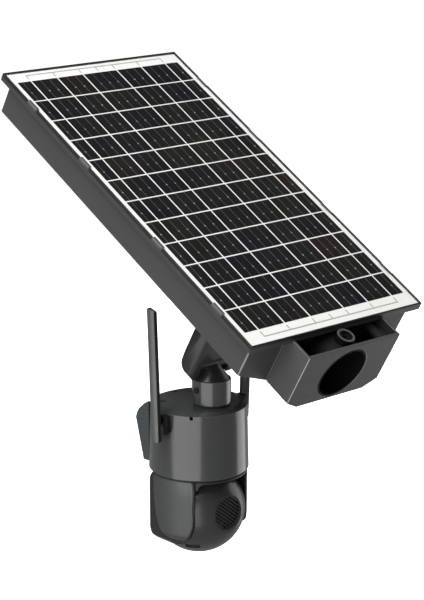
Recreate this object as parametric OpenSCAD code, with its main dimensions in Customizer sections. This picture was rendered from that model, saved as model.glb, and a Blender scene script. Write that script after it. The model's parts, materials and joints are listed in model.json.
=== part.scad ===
// Solar-powered pan-tilt security camera that hangs from a pole arm.
// The origin is the centre of the pole socket's mouth. +X runs across the
// panel, the panel slopes down towards -Y, and +Z is up as installed.

/* [Panel] */
// Width of the solar panel's frame
panel_w = 253; // [250:0.5:256]
// Length of the solar panel's frame, down the slope
panel_l = 460; // [452:1:470]
// Height of the frame's outer rim
rim_h = 9; // [9:0.5:10]
// Width of the rim seen round the glass
rim_w = 2.2; // [2:0.1:2.6]
// Rows of cells down the slope
cell_rows = 12; // [8:1:14]
// White gap between neighbouring cells
cell_gap = 2; // [1.2:0.1:2.4]
// White margin beside the cells
margin_x = 9; // [9:0.5:14]
// White margin below the cells
margin_low = 21.8; // [20:0.1:26]
// White margin above the cells
margin_up = 18; // [16:0.5:26]
// Length of one glass clip
clip_l = 18; // [12:1:22]

/* [Housing] */
// Slope of the panel when the pole arm follows it
tilt = 30; // [28:1:32]
// Height of the glass side of the frame above the socket's axis
drop = 43; // [43:0.5:45]
// Wall thickness of the housing
wall = 3; // [2.5:0.5:3.5]
// Distance of the side walls inside the frame
side_in = 9.5; // [8:0.5:11]
// Distance of the end walls inside the frame
end_in = 7; // [6:0.5:8]
// Height of the side walls below the frame's rim
side_h = 39.8; // [38:0.2:41]

/* [Pole socket] */
// Inner diameter of the socket, for a street lamp arm
socket_d = 60; // [60:0.5:60]
// Length of the socket
socket_l = 120; // [100:5:125]
// Wall thickness of the socket
socket_wall = 2; // [1.5:0.5:2]
// Width of the block round the socket
block_w = 135.2; // [130:0.2:140]
// How far the block stands out from the panel's lower edge
block_out = 29; // [28:0.5:30]
// Travel of the lock bolt
lock_travel = 6; // [4:0.5:7]

/* [Drop bracket] */
// Width of the bracket that carries the camera
bracket_w = 60; // [58:1:64]
// Depth of the bracket along the slope
bracket_d = 25; // [24:0.5:26]
// Radius of the hinge bolt
bolt_r = 4; // [4:0.5:4]

/* [Camera body] */
// Distance of the camera hinge from the socket, level
pivot_y = 200; // [198:0.5:202]
// Height of the camera hinge
pivot_z = -29.5; // [-30:0.1:-29]
// Distance from the collar's axis to the pan axis
pan_off = 21.2; // [20:0.2:23]
// Radius of the barrel at its lower end
barrel_r = 56.6; // [56.2:0.1:57]
// Height of the barrel's lower rim
barrel_bot = -160; // [-160.2:0.1:-159.6]
// Height of the barrel's top
barrel_top = -80.3; // [-80.5:0.1:-80]
// Radius of the mount collar
collar_r = 22; // [21.5:0.5:23]
// Half width of the lamp hood
hood_hw = 38; // [36:0.5:38]

/* [Antennas] */
// Distance of each antenna from the pan axis
ant_x = 66.9; // [66.5:0.1:68]
// How far the antenna pivots sit behind the pan axis
ant_back = 8; // [7:0.5:9]
// Height of the antenna pivots
ant_z = -100; // [-101:0.1:-99.5]
// Height of the antenna tips
ant_top = 38; // [20:0.5:40]

/* [Pan and tilt] */
// Height of the tilt axis
head_z = -206.3; // [-206.5:0.1:-206]
// Radius of the camera head
head_r = 53; // [52:0.5:53]
// Outer radius of the yoke's cheeks
yoke_r = 55; // [54.5:0.5:55]
// Lowest point of the cheeks
yoke_bot = -232.8; // [-233.2:0.1:-232.6]
// Radius of the lens window
window_r = 27; // [24:0.5:27]
// Slots in the speaker grille
grille_slots = 10; // [6:1:11]

/* [Hidden] */
$fn = 96;

// Heights and places in the housing's own frame: x across, y up the slope,
// z square to the glass.
top = drop;                      // face of the rim
rim_b = top - rim_h;             // underside of the rim, top of the tub
y0 = block_out;                  // lower edge of the frame
y1 = y0 + panel_l;
ty0 = y0 + end_in;               // lower wall of the tub
ty1 = y1 - end_in;
tx = panel_w/2 - side_in;
side_b = rim_b - side_h;         // foot of the side walls
bw = block_w/2;
block_t = top - 5;               // top of the socket block
block_b = -25.5;                 // foot of its side faces
belly = -35.3;                   // lowest face
belly_w = bw - 18;
gasket_h = 1.5;
bed = top - 5;                   // seat of the panel in the frame
sheet_t = 3.2;
cell_t = 0.3;
glass_t = 0.8;
glass_b = bed + sheet_t + cell_t + 0.2;
sleeve_r = socket_d/2 + socket_wall;
button_y = 445;
lock_y = 17;

hp_y = pivot_y*cos(tilt) + pivot_z*sin(tilt);     // hinge in the housing's frame
hp_z = -pivot_y*sin(tilt) + pivot_z*cos(tilt);
br_y0 = hp_y - 8.3;
br_y1 = br_y0 + bracket_d;
br_b = hp_z - 15.5;

pan_y = pivot_y + pan_off;
cap_b = barrel_top - 3.3;
barrel_in = 52.3;
plate_b = head_z + head_r + 0.6; // underside of the yoke's plate
plate_t = 4;
chassis_b = plate_b + plate_t + 12;
cheek_in = 39.5;
tilt_m = 0.55;                   // module of the tilt gears
tilt_c = 25*tilt_m;              // distance between their shafts
cheek_top = barrel_bot - 0.35;
grille_z = 4.1;                  // height of the speaker grille over the tilt axis

tub_pts = [[tx, rim_b], [-tx, rim_b], [-tx, side_b], [-bw, block_b], [-belly_w, belly],
  [belly_w, belly], [bw, block_b], [tx, side_b]];
block_pts = [[bw, block_t], [-bw, block_t], [-bw, block_b], [-belly_w, belly],
  [belly_w, belly], [bw, block_b]];

// One polygon with every side moved inwards by d.
function side_n(a, b) = let (v = b - a) [-v[1], v[0]]/norm(v);
function inset(p, d) = let (n = len(p)) [for (i = [0:n - 1])
  let (a = p[(i + n - 1) % n], b = p[i], c = p[(i + 1) % n],
       u = side_n(a, b), w = side_n(b, c), e = u*b + d, f = w*b + d,
       k = u[0]*w[1] - u[1]*w[0])
  [(e*w[1] - f*u[1])/k, (u[0]*f - w[0]*e)/k]];
// The same polygon with its upper corners lifted above a height.
function lifted(p, z, to) = [for (q = p) q[1] > z ? [q[0], to] : q];
// A rectangle from (a, b) to (c, d) with rounded corners.
function rrect(a, b, c, d, r, n = 8) = concat(
  [for (i = [0:n]) [c - r + r*cos(90*i/n), d - r + r*sin(90*i/n)]],
  [for (i = [0:n]) [a + r - r*sin(90*i/n), d - r + r*cos(90*i/n)]],
  [for (i = [0:n]) [a + r - r*cos(90*i/n), b + r - r*sin(90*i/n)]],
  [for (i = [0:n]) [c - r + r*sin(90*i/n), b + r - r*cos(90*i/n)]]);
// A cheek seen from the side: a tongue that is fuller at the back, d inside its outline.
function tongue(d, top) = inset([[21, top + d], [-36.2, top + d], [-36.1, -204], [-35.3, -213], [-33.4, -220.4],
  [-30.8, -225.6], [-27.4, -229.3], [-23.4, -231.7], [-19, -232.7], [-14, -232.4], [-9, -231.2], [-4, -229.3],
  [0.6, -226.8], [4.7, -223.5], [8.2, -219.3], [11.2, -213.9], [13.6, -207.6], [15.6, -200.5], [17.6, -192.5],
  [19.4, -183.5], [20.6, -174]], d);
// A spur gear's outline with straight-sided teeth.
function gear_pts(t, m, ph = 0, thin = 1) = let (r = t*m/2, p = 360/t) [for (i = [0:t - 1])
  for (q = [[-0.36, r - 1.15*m], [-0.225, r], [-0.11, r + 0.8*m], [0.11, r + 0.8*m],
            [0.225, r], [0.36, r - 1.15*m]])
  let (a = (i + q[0]*thin)*p + ph) [q[1]*cos(a), q[1]*sin(a)]];

module housing() { rotate([tilt, 0, 0]) children(); }
module along_y(a, b) { translate([0, b, 0]) rotate([90, 0, 0]) linear_extrude(b - a) children(); }
module along_x(a, b) { translate([a, 0, 0]) rotate([90, 0, 90]) linear_extrude(b - a) children(); }
module cyl_y(r, a, b) { translate([0, a, 0]) rotate([-90, 0, 0]) cylinder(r = r, h = b - a); }
module cyl_x(r, a, b) { translate([a, 0, 0]) rotate([0, 90, 0]) cylinder(r = r, h = b - a); }
module box(a, b) { translate(a) cube(b - a); }
module camera() { translate([0, pan_y, 0]) children(); }
module head() { translate([0, pan_y, head_z]) children(); }
module hood_face() { camera() translate([0, 64.4, -109]) rotate([-8.13, 0, 0]) children(); }
module card_place() { rotate([0, 48.5, 37.7]) children(); }

// ---- housing ----
module housing_tub() { color("#4b4b4b") housing() difference() {
  along_y(ty0, ty1) polygon(tub_pts);
  along_y(ty0 + wall, ty1 - wall) polygon(lifted(inset(tub_pts, wall), side_b + 10, rim_b + 5));
  cyl_y(sleeve_r + 0.15, ty0 - 1, ty0 + wall + 1);
  for (s = [-1, 1], z = [-16, 24]) translate([s*56, 0, z]) cyl_y(2.1, ty0 - 1, ty0 + wall + 1);
  for (x = [-20, 20], y = [hp_y - 2, hp_y + 10]) translate([x, y, belly - 1]) cylinder(r = 2.1, h = wall + 2);
  translate([0, hp_y + 4, belly - 1]) cylinder(r = 6, h = wall + 2);
  translate([0, button_y, belly - 1]) cylinder(r = 8, h = wall + 2);
} }
module socket_block() { color("#565857") housing() difference() {
  union() {
    along_y(0, ty0) polygon([for (q = block_pts) [q[0], min(q[1], rim_b - 0.2)]]);
    along_y(0, y0 - 0.2) polygon(block_pts);
  }
  difference() {
    along_y(4, ty0 + 1) polygon(lifted(inset(block_pts, wall), 0, top));
    for (s = [-1, 1], z = [-16, 24]) translate([s*56, 0, z]) cyl_y(5, 0, ty0);
    for (s = [-1, 1], z = [-16, 24]) box([s > 0 ? 56 : -bw + 1, 0, z - 2], [s > 0 ? bw - 1 : -56, ty0, z + 2]);
  }
  cyl_y(sleeve_r + 0.1, -1, 5);
  for (s = [-1, 1], z = [-16, 24]) translate([s*56, 0, z]) cyl_y(1.6, 18, ty0 + 1);
} }
module pole_sleeve() { color("#6f7170") housing() difference() {
  union() {
    cyl_y(sleeve_r, 0, socket_l);
    translate([0, lock_y, 25]) cylinder(r = 10, h = top - 4.4 - 25);
  }
  cyl_y(socket_d/2, -1, socket_l + 1);
  translate([0, lock_y, 20]) cylinder(r = 5.05, h = 30);
} }
module pole_lock_bolt() { color("#2e2f30") housing() translate([0, lock_y, 0]) difference() {
  translate([0, 0, socket_d/2 + 0.6]) cylinder(r = 5, h = 6);
  translate([0, 0, socket_d/2 + 3.4]) cylinder(r = 2.9, h = 4, $fn = 6);
} }
module socket_bolts() { color("silver") housing()
  for (s = [-1, 1], z = [-16, 24]) translate([s*56, 0, z]) difference() {
    union() { cyl_y(1.6, 20, ty0 + wall); cyl_y(3.6, ty0 + wall, ty0 + wall + 3); }
    translate([0, ty0 + wall + 1.4, 0]) rotate([-90, 0, 0]) cylinder(r = 1.7, h = 2, $fn = 6);
  } }

// ---- lid and panel ----
clip_y = [for (v = [59, 160.5, 295.5, 400.5]) y1 - v];
module lid_frame() { color("#1f2020") housing() difference() {
  box([-panel_w/2, y0, rim_b], [panel_w/2, y1, top]);
  box([-panel_w/2 + rim_w, y0 + rim_w, bed], [panel_w/2 - rim_w, y1 - rim_w, top + 1]);
  box([-panel_w/2 + 22, y0 + 22, rim_b - 1], [panel_w/2 - 22, y1 - 22, top + 1]);
  box([-tx - 0.5, ty0 - 0.5, rim_b - 1], [tx + 0.5, ty1 + 0.5, rim_b + gasket_h]);
  for (s = [-1, 1], y = clip_y)
    box([s > 0 ? panel_w/2 - rim_w - 0.5 : -panel_w/2 - 1, y - clip_l/2, top - 3],
        [s > 0 ? panel_w/2 + 1 : -panel_w/2 + rim_w + 0.5, y + clip_l/2, top + 1]);
} }
module lid_gasket() { color("#111111") housing() difference() {
  box([-tx, ty0, rim_b], [tx, ty1, rim_b + gasket_h]);
  box([-tx + wall, ty0 + wall, rim_b - 1], [tx - wall, ty1 - wall, rim_b + gasket_h + 1]);
} }
module panel_clips() { color("#8c8c8a") housing() for (s = [-1, 1], y = clip_y) {
  translate([s > 0 ? panel_w/2 : -panel_w/2, y, 0]) mirror([s > 0 ? 1 : 0, 0, 0])
    along_y(-clip_l/2 + 0.2, clip_l/2 - 0.2)
      polygon([[0.2, top - 3], [rim_w - 0.1, top - 3], [rim_w - 0.1, glass_b + glass_t + 0.05],
        [4.4, glass_b + glass_t + 0.05], [4.4, top], [0.9, top], [0.2, top - 0.7]]);
} }
module backsheet() { color("#f4f4ee") housing()
  box([-panel_w/2 + rim_w + 0.2, y0 + rim_w + 0.2, bed], [panel_w/2 - rim_w - 0.2, y1 - rim_w - 0.2, bed + sheet_t]); }
// Column widths in busbar pitches: narrow pieces stand at both sides.
col_u = [1.5, 3, 3, 4, 3, 3, 1.5];
function upto(v, n) = n <= 0 ? 0 : v[n - 1] + upto(v, n - 1);
cells_w = panel_w - 2*margin_x;
cells_l = panel_l - margin_low - margin_up;
pitch = cells_w/upto(col_u, 7);
row_l = (cells_l + cell_gap)/cell_rows;
module solar_cells() { color("#15171c") housing()
  for (j = [0:cell_rows - 1], i = [0:6])
    translate([-cells_w/2 + upto(col_u, i)*pitch + (i == 0 ? 0 : cell_gap/2), y0 + margin_low + j*row_l, bed + sheet_t])
      cube([col_u[i]*pitch - (i == 0 || i == 6 ? cell_gap/2 : cell_gap), row_l - cell_gap, cell_t]); }
module bus_ribbons() { color("#c9cbc8") housing() for (e = [0, 1]) {
  yy = e == 0 ? y0 + 10.6 : y1 - 8.2;
  ends = 8*pitch + 0.7;
  box([-ends, yy, bed + sheet_t], [ends, yy + 1.4, bed + sheet_t + 0.2]);
  for (u = [-8, -5, -2, 0, 2, 5, 8])
    box([u*pitch - 0.7, e == 0 ? yy + 1.4 : yy - 6.5, bed + sheet_t], [u*pitch + 0.7, e == 0 ? yy + 8 : yy, bed + sheet_t + 0.2]);
} }
module solar_glass() { color("#dfeaf0", 0.3) housing() difference() {
  box([-panel_w/2 + rim_w + 0.3, y0 + rim_w + 0.3, glass_b], [panel_w/2 - rim_w - 0.3, y1 - rim_w - 0.3, glass_b + glass_t]);
} }
module junction_box() { color("#1d1d1d") housing() difference() {
  union() {
    box([-32, 240, bed - 15], [32, 284, bed]);
    for (s = [-1, 1]) translate([s*20, 0, bed - 8]) cyl_y(4, 230, 240.5);
  }
  box([-30, 242, bed - 13], [30, 282, bed + 1]);
} }

// ---- battery and charger ----
module battery_tray() { color("#2b2b2b") housing() {
  difference() {
    box([-71, 306, -16], [71, 412, -1]);
    box([-69, 308, -14], [69, 410, 5]);
  }
  for (s = [-1, 1], y = [318, 400]) translate([s*36, y, belly + wall]) cylinder(r = 5, h = -16 - belly - wall);
} }
module battery_cells() { color("#3f6fa8") housing()
  for (s = [-1, 1], k = [0:4]) translate([0, 319 + 20*k, -4.6]) {
    cyl_x(9.2, s > 0 ? 1.5 : -66.5, s > 0 ? 66.5 : -1.5);
    cyl_x(3, s > 0 ? 66 : -67.5, s > 0 ? 67.5 : -66);
  } }
module charge_controller() { color("#1f5a3a") housing() {
  box([-45, 205, -22], [45, 265, -20.4]);
  for (s = [-1, 1], y = [210, 260]) translate([s*40, y, belly + wall]) cylinder(r = 3, h = -22 - belly - wall);
  for (k = [0:5]) box([-40 + 13*k, 207, -20.4], [-29.5 + 13*k, 217, -11]);
  translate([-15, 242, -20.4]) cylinder(r = 8, h = 8);
  translate([8, 242, -20.4]) cylinder(r = 5, h = 13);
  box([18, 230, -20.4], [36, 250, -18]);
} }
module power_switch() { color("#2a2a2a") housing() translate([0, button_y, 0]) {
  difference() {
    union() {
      translate([0, 0, belly + wall]) cylinder(r = 10, h = 10);
      translate([0, 0, belly - 2]) cylinder(r = 11, h = 2);
      translate([0, 0, belly - 0.5]) cylinder(r = 7.9, h = wall + 1);
    }
    translate([0, 0, belly - 3]) cylinder(r = 6.05, h = wall + 10);
  }
} }
module power_button() { color("#b3261e") housing() translate([0, button_y, 0]) {
  translate([0, 0, belly - 3.5]) cylinder(r = 6, h = 7);
} }

// ---- drop bracket and camera hinge ----
module drop_bracket() { color("#424344") housing() difference() {
  along_x(-bracket_w/2, bracket_w/2) polygon(concat([[br_y0, belly], [br_y0, br_b]],
    [for (i = [0:10]) [br_y1 - 12 + 12*sin(9*i), br_b + 12 - 12*cos(9*i)]], [[br_y1, belly]]));
  box([-22, br_y0 - 1, br_b - 1], [22, br_y1 + 1, hp_z + 9.5]);
  box([-26, br_y0 + 3, hp_z + 13], [26, br_y1 - 3, belly - 8]);
  translate([0, hp_y + 4, hp_z]) cylinder(r = 6, h = 120);
  for (x = [-20, 20], y = [hp_y - 2, hp_y + 10]) translate([x, y, belly - 6]) cylinder(r = 1.6, h = 8);
  translate([0, hp_y, hp_z]) cyl_x(bolt_r, -bracket_w/2 + 2, bracket_w/2 + 1);
} }
module bracket_screws() { color("silver") housing()
  for (x = [-20, 20], y = [hp_y - 2, hp_y + 10]) translate([x, y, belly - 5]) {
    cylinder(r = 1.6, h = 5 + wall);
    translate([0, 0, 5 + wall]) cylinder(r = 3.4, h = 2.4);
  } }
module hinge_bolt() { color("#9a9c9c") translate([0, pivot_y, pivot_z]) difference() {
  union() {
    cyl_x(bolt_r, -bracket_w/2 + 2, bracket_w/2);
    cyl_x(6.5, bracket_w/2, bracket_w/2 + 5);
  }
  translate([bracket_w/2 + 2, 0, 0]) rotate([0, 90, 0]) cylinder(r = 3.2, h = 4, $fn = 6);
} }
module hinge_washers() { color("#b9b9b9") for (s = [-1, 1]) translate([0, pivot_y, pivot_z]) difference() {
  cyl_x(7.8, s > 0 ? 21.5 : -22, s > 0 ? 22 : -21.5);
  cyl_x(bolt_r, -30, 30);
} }

// ---- camera body ----
module knuckle_neck() { color("#2d2e2f") translate([0, pivot_y, 0]) difference() {
  union() {
    translate([0, 0, pivot_z]) cyl_x(8, -21.3, 21.3);
    translate([0, 0, -49.3]) cylinder(r1 = 20, r2 = 6, h = 19.3);
    translate([0, 0, -75]) cylinder(r = 15.9, h = 26);
  }
  translate([0, 0, pivot_z]) cyl_x(bolt_r + 0.05, -23, 23);
  translate([0, 0, -76]) cylinder(r = 6, h = 34);
} }
module mount_collar() { color("#5c5e5d") translate([0, pivot_y, 0]) difference() {
  rotate_extrude() polygon([[16, barrel_top], [collar_r - 3, barrel_top], [collar_r, barrel_top + 3.5],
    [collar_r, -50], [collar_r - 0.7, -49.3], [16, -49.3]]);
  translate([-30, 0, -60.3]) cyl_x(2.05, 0, 20);
} }
module collar_screw() { color("#8a8c8c") translate([0, pivot_y, -60.3]) difference() {
  union() { cyl_x(2, -collar_r, -16.2); cyl_x(3.5, -collar_r - 2.5, -collar_r); }
  translate([-collar_r - 3, 0, 0]) rotate([0, 90, 0]) cylinder(r = 1.7, h = 2, $fn = 6);
} }
module top_cap() { color("#3a3c3c") camera() difference() {
  rotate_extrude() polygon([[0, barrel_top], [46, barrel_top], [55, cap_b], [barrel_in, cap_b],
    [50, barrel_top - 3], [0, barrel_top - 3]]);
  translate([0, -pan_off, -100]) cylinder(r = 8, h = 40);
  for (a = [35, 145, 90]) rotate(a) translate([40, 0, -90]) {
    cylinder(r = 1.8, h = 20);
    translate([0, 0, 90 + barrel_top - 1.7]) cylinder(r = 3.4, h = 3);
  }
} }
module cap_screws() { color("#7d7f7f") camera() for (a = [35, 145, 90]) rotate(a) translate([40, 0, barrel_top - 6.7]) difference() {
  union() { cylinder(r = 1.7, h = 5); translate([0, 0, 5]) cylinder(r = 3.2, h = 1.4); }
  for (q = [0, 90]) rotate(q) box([-2.2, -0.4, 5.7], [2.2, 0.4, 7]);
} }
module barrel_shell() { color("#505251") camera() difference() {
  rotate_extrude() polygon([[barrel_in, cap_b], [55, cap_b], [barrel_r, barrel_bot + 3.4],
    [barrel_r, barrel_bot + 2.6], [barrel_r - 2.4, barrel_bot], [barrel_in, barrel_bot]]);
  rotate(219) box([barrel_in - 2, -1.8, cap_b - 4], [60, 1.8, cap_b + 1]);
  for (s = [-1, 1]) box([s > 0 ? 48 : -60, -ant_back - 5, ant_z - 4], [s > 0 ? 60 : -48, -ant_back + 5, ant_z + 4]);
  box([-26, 40, -150.2], [26, 60, -99.8]);
} }
// The lamp hood plugs into an opening in the front of the barrel.
hood_pts = [[40, -155.2], [57.8, -155.2], [64.4, -109], [64.7, -106.9], [62.9, -102], [59.1, -96.1], [50.3, -88.5],
  [42.2, -83.6], [40, -83.6]];
module hood_shell() { color("#3d4344") difference() {
  camera() difference() {
    along_x(-hood_hw, hood_hw) polygon(hood_pts);
    difference() {
      translate([0, 0, -170]) cylinder(r = 56.9, h = 100);
      box([-25.8, 44, -150], [25.8, 70, -100]);
    }
    translate([0, 0, -158]) cylinder(r = 52.5, h = 27);
    for (s = [0, 1]) mirror([s, 0, 0]) translate([38, 51.8, -155.2]) rotate([-14.3, 0, -20.87])
      box([-60, 0, -60], [60, 30, 80]);
  }
  hood_face() {
    box([-25.2, -7, -27.2], [25.2, 2, -4.8]);
    translate([0, 0, -37]) cyl_y(8.6, -3, 2);
  }
} }
module lamp_lens() { color("#e9edf0", 0.6) hood_face() box([-25, -2.4, -27], [25, 0.4, -5]); }
module lamp_leds() { color("#f0d870") hood_face() {
  box([-25, -7, -27], [25, -5.4, -5]);
  for (i = [0:7], j = [0, 1]) box([-22.6 + 6*i, -5.4, -22.5 + 10*j], [-19.4 + 6*i, -4.5, -19.3 + 10*j]);
} }
module pir_lens() { color("#eef0ee") hood_face() translate([0, 0, -37]) intersection() {
  translate([0, -1.5, 0]) sphere(r = 8.5);
  box([-10, -1.5, -10], [10, 12, 10]);
} }
module main_board() { color("#1f5a3a") camera() {
  difference() {
    translate([0, 0, -100]) cylinder(r = 42, h = 1.6);
    translate([0, -pan_off, -101]) cylinder(r = 10, h = 4);
  }
  box([-12, 4, -98.4], [12, 28, -96]);
  box([-36, -6, -98.4], [-18, 8, -95.4]);
  box([18, -12, -98.4], [38, 6, -94]);
} }
module antenna_mounts() { color("#151616") camera() for (s = [-1, 1]) mirror([s > 0 ? 0 : 1, 0, 0]) translate([0, -ant_back, ant_z]) difference() {
  union() {
    box([49.5, -4.9, -3.9], [57, 4.9, 3.9]);
    cyl_x(6.5, 56.8, 61.4);
    box([56.8, -6.5, 0], [61.4, 6.5, 15.4]);
  }
  cyl_x(3.05, 50, 70);
  box([60, -3.6, 8.2], [62, 3.6, 14.2]);
} }
module antenna(s) { color("#191a1a") camera() mirror([s > 0 ? 0 : 1, 0, 0]) translate([0, -ant_back, ant_z]) {
  translate([ant_x, 0, 0]) rotate([0, 2.2, 0]) along_x(-2.5, 2.5)
    polygon([[-1.6, -12], [0, -14.5], [8.4, -14.5], [10.1, -12], [10.1, ant_top - ant_z + 0.8], [8.9, ant_top - ant_z + 1.8],
      [-0.4, ant_top - ant_z - 0.6], [-1.6, ant_top - ant_z - 1.8]]);
  cyl_x(5.8, 61.8, ant_x - 1.5);
  cyl_x(3, 51, 62.5);
} }
module antenna_left() { antenna(-1); }
module antenna_right() { antenna(1); }

// ---- pan drive ----
module pan_chassis() { color("#2b2c2c") camera() difference() {
  translate([0, 0, chassis_b]) cylinder(r = 52.1, h = 3);
  translate([0, 0, chassis_b - 1]) cylinder(r = 16, h = 6);
  translate([32, 0, chassis_b - 1]) cylinder(r = 3.2, h = 6);
} }
module pan_bearing() { color("#a9abab") camera() translate([0, 0, chassis_b]) difference() {
  cylinder(r = 16, h = 4);
  translate([0, 0, -1]) cylinder(r = 12.05, h = 7);
} }
module pan_motor() { color("#9fa3a5") camera() translate([32, 0, chassis_b + 3]) difference() {
  union() { cylinder(r = 13, h = 15); box([-13, -3, 0], [17, 3, 1.2]); }
  translate([0, 0, -1]) cylinder(r = 2.05, h = 11);
} }
module pan_pinion() { color("#e8e4d8") camera() translate([32, 0, 0]) {
  translate([0, 0, plate_b + plate_t + 1]) linear_extrude(4) polygon(gear_pts(16, 1, 180/16));
  translate([0, 0, plate_b + plate_t + 1]) cylinder(r = 2, h = chassis_b + 9 - plate_b - plate_t);
} }
module pan_gear() { color("#e8e4d8") camera() translate([0, 0, plate_b + plate_t]) difference() {
  linear_extrude(5) polygon(gear_pts(48, 1));
  translate([0, 0, -1]) cylinder(r = 12, h = 8);
} }
module pan_retainer() { color("#8f9192") camera() translate([0, 0, chassis_b + 4.3]) difference() {
  cylinder(r = 15.5, h = 1.5);
  translate([0, 0, -1]) cylinder(r = 12, h = 4);
} }
module yoke_frame() { color("#242525") camera() { yoke_core(); yoke_lip(); } }
// The lip that closes the back of the yoke under the barrel, with rounded inner corners.
module yoke_lip() { intersection() {
  difference() {
    rotate_extrude() polygon([[50, cheek_top], [54.9, cheek_top], [54.9, cheek_top - 9], [52.6, cheek_top - 9],
      [52.6, cheek_top - 2.2], [50, cheek_top - 2.2]]);
    along_y(-60, 60) polygon(rrect(-37.6, -300, 37.6, cheek_top - 2.2, 6));
  }
  union() {
    box([-39.2, -60, cheek_top - 9], [39.2, -25, cheek_top]);
    box([-41.2, -33, cheek_top - 2.2], [41.2, -25, cheek_top]);
  }
} }
module yoke_core() { difference() {
  union() {
    translate([0, 0, plate_b]) cylinder(r = 51.8, h = plate_t);
    translate([0, 0, plate_b + plate_t]) cylinder(r = 12, h = chassis_b + 5.8 - plate_b - plate_t);
    for (s = [-1, 1]) along_x(s > 0 ? cheek_in : -cheek_in - 1.8, s > 0 ? cheek_in + 1.8 : -cheek_in)
      polygon(tongue(2.4, plate_b + 1));
  }
  translate([0, 0, plate_b - 1]) cylinder(r = 7, h = 40);
  translate([0, 0, head_z]) cyl_x(6.05, -60, 60);
  for (s = [0, 1], p = screw_at) mirror([s, 0, 0]) translate([0, p[0], p[1]]) cyl_x(2.4, cheek_in - 1, cheek_in + 3);
  difference() {
    translate([0, 0, cheek_top - 4]) cylinder(r = 80, h = 30 );
    translate([0, 0, cheek_top - 5]) cylinder(r = 51.8, h = 40);
  }
} }
module cheek_body(r, d, x0) { intersection() {
  rotate_extrude() polygon(concat([[0, cheek_top], [r, cheek_top]],
    [for (i = [0:8]) [r - 10 + 10*cos(90*i/8), yoke_bot + d + 10 - 10*sin(90*i/8)]],
    [[0, yoke_bot + d]]));
  along_x(x0, 70) polygon(tongue(d, cheek_top + 1));
} }
module cheek_cover(s) { color("#484a4a") camera() mirror([s > 0 ? 0 : 1, 0, 0]) difference() {
  union() {
    difference() {
      cheek_body(yoke_r, 0, cheek_in);
      translate([0, 0, 0.2]) cheek_body(yoke_r - 2, 2.2, cheek_in - 1);
    }
    intersection() {
      cheek_body(yoke_r - 0.5, 1, cheek_in);
      for (p = screw_at) translate([0, p[0], p[1]]) cyl_x(3.2, cheek_in + 2, yoke_r);
    }
  }
  for (p = screw_at) translate([0, p[0], p[1]]) cyl_x(1.2, cheek_in, cheek_in + 6.2);
} }
module cheek_cover_left() { cheek_cover(-1); }
module cheek_cover_right() { cheek_cover(1); }
screw_at = [[-25, -171], [-20, -225], [9, -177]];
module cheek_screws() { color("#6c6e6e") camera() for (s = [0, 1], p = screw_at) mirror([s, 0, 0])
  translate([0, p[0], p[1]]) {
    cyl_x(2.4, cheek_in + 0.2, cheek_in + 1.8);
    cyl_x(1.2, cheek_in + 1.8, cheek_in + 6);
  } }

// ---- tilt drive ----
module tilt_motor() { color("#9fa3a5") head() translate([0, 0, tilt_c]) difference() {
  union() {
    cyl_x(6.9, -51, -44.2);
    box([-45.4, -12, 1], [-44.2, 12, 6]);
    for (s = [-1, 1]) translate([0, s*10.6, 3.5]) cyl_x(1.2, -44.2, -cheek_in - 1.8);
  }
  cyl_x(1.55, -49, -40);
} }
module tilt_pinion() { color("#e8e4d8") head() translate([0, 0, tilt_c]) {
  along_x(-43.7, -41.9) polygon(gear_pts(14, tilt_m, 90 + 180/14, 0.88));
  cyl_x(1.5, -48.5, -43.7);
} }
module tilt_gear() { color("#e8e4d8") head() difference() {
  along_x(-43.7, -41.9) polygon(gear_pts(36, tilt_m, 90, 0.88));
  cyl_x(6, -50, -30);
} }
module tilt_trunnions() { color("#a9abab") head() for (s = [-1, 1]) difference() {
  union() {
    cyl_x(6, s > 0 ? 36 : -44.5, s > 0 ? 43 : -36);
    cyl_x(7.6, s > 0 ? 34.2 : -36.2, s > 0 ? 36.2 : -34.2);
  }
  cyl_x(3.5, -60, 60);
} }

// ---- camera head ----
split_y = 8;
module head_rear_shell() { color("#4d4e4e") head() difference() {
  union() {
    difference() {
      intersection() { sphere(r = head_r); box([-38.5, -49.3, -60], [38.5, split_y, 60]); }
      intersection() { sphere(r = head_r - 2.4); box([-36.2, -60, -60], [36.2, split_y + 1, 60]); }
    }
    intersection() { sphere(r = head_r - 1); translate([0, 0, grille_z]) cyl_y(22, -48.6, -43.6); }
  }
  cyl_x(6, 35, 40);
  cyl_x(6, -40, -35);
  card_place() box([-4.4, -8.3, -60], [4.4, 8.3, -44]);
  translate([0, 0, grille_z]) cyl_y(20.1, -60, -45.2);
  translate([0, 0, grille_z]) cyl_y(17.6, -60, -40);
} }
module head_front_shell() { color("#202121") head() difference() {
  intersection() {
    rotate([-90, 0, 0]) rotate_extrude() polygon(concat([[0, split_y], [head_r - 1, split_y]],
      [for (i = [0:6]) [head_r - 8 + 7*cos(15*i), 37 + 7*sin(15*i)]], [[0, 44]]));
    along_x(-36, 36) polygon([[split_y - 1, -60], [45, -60], [45, 44.8], [split_y, 52], [split_y - 1, 52]]);
  }
  intersection() {
    cyl_y(head_r - 3.4, split_y - 1, 41.6);
    along_x(-33.6, 33.6) polygon([[split_y - 2, -60], [45, -60], [45, 41], [split_y, 49.4], [split_y - 2, 49.4]]);
  }
  cyl_y(window_r + 0.1, 40, 50);
} }
module speaker_grille() { color("#2c2d2d") head() translate([0, 0, grille_z]) difference() {
  cyl_y(20, -47.2, -45.2);
  for (k = [0:grille_slots - 1]) let (u = (k - (grille_slots - 1)/2)*3.4, c = sqrt(max(17.9*17.9 - u*u, 4)))
    rotate([0, -52, 0]) box([u - 0.95, -51, -c], [u + 0.95, -44, c]);
} }
module speaker() { color("#1a1a1a") head() translate([0, 0, grille_z]) difference() {
  union() { cyl_y(17.2, -45.1, -42.4); cyl_y(10, -42.4, -34.4); }
  cyl_y(14, -47, -43.8);
} }
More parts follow.
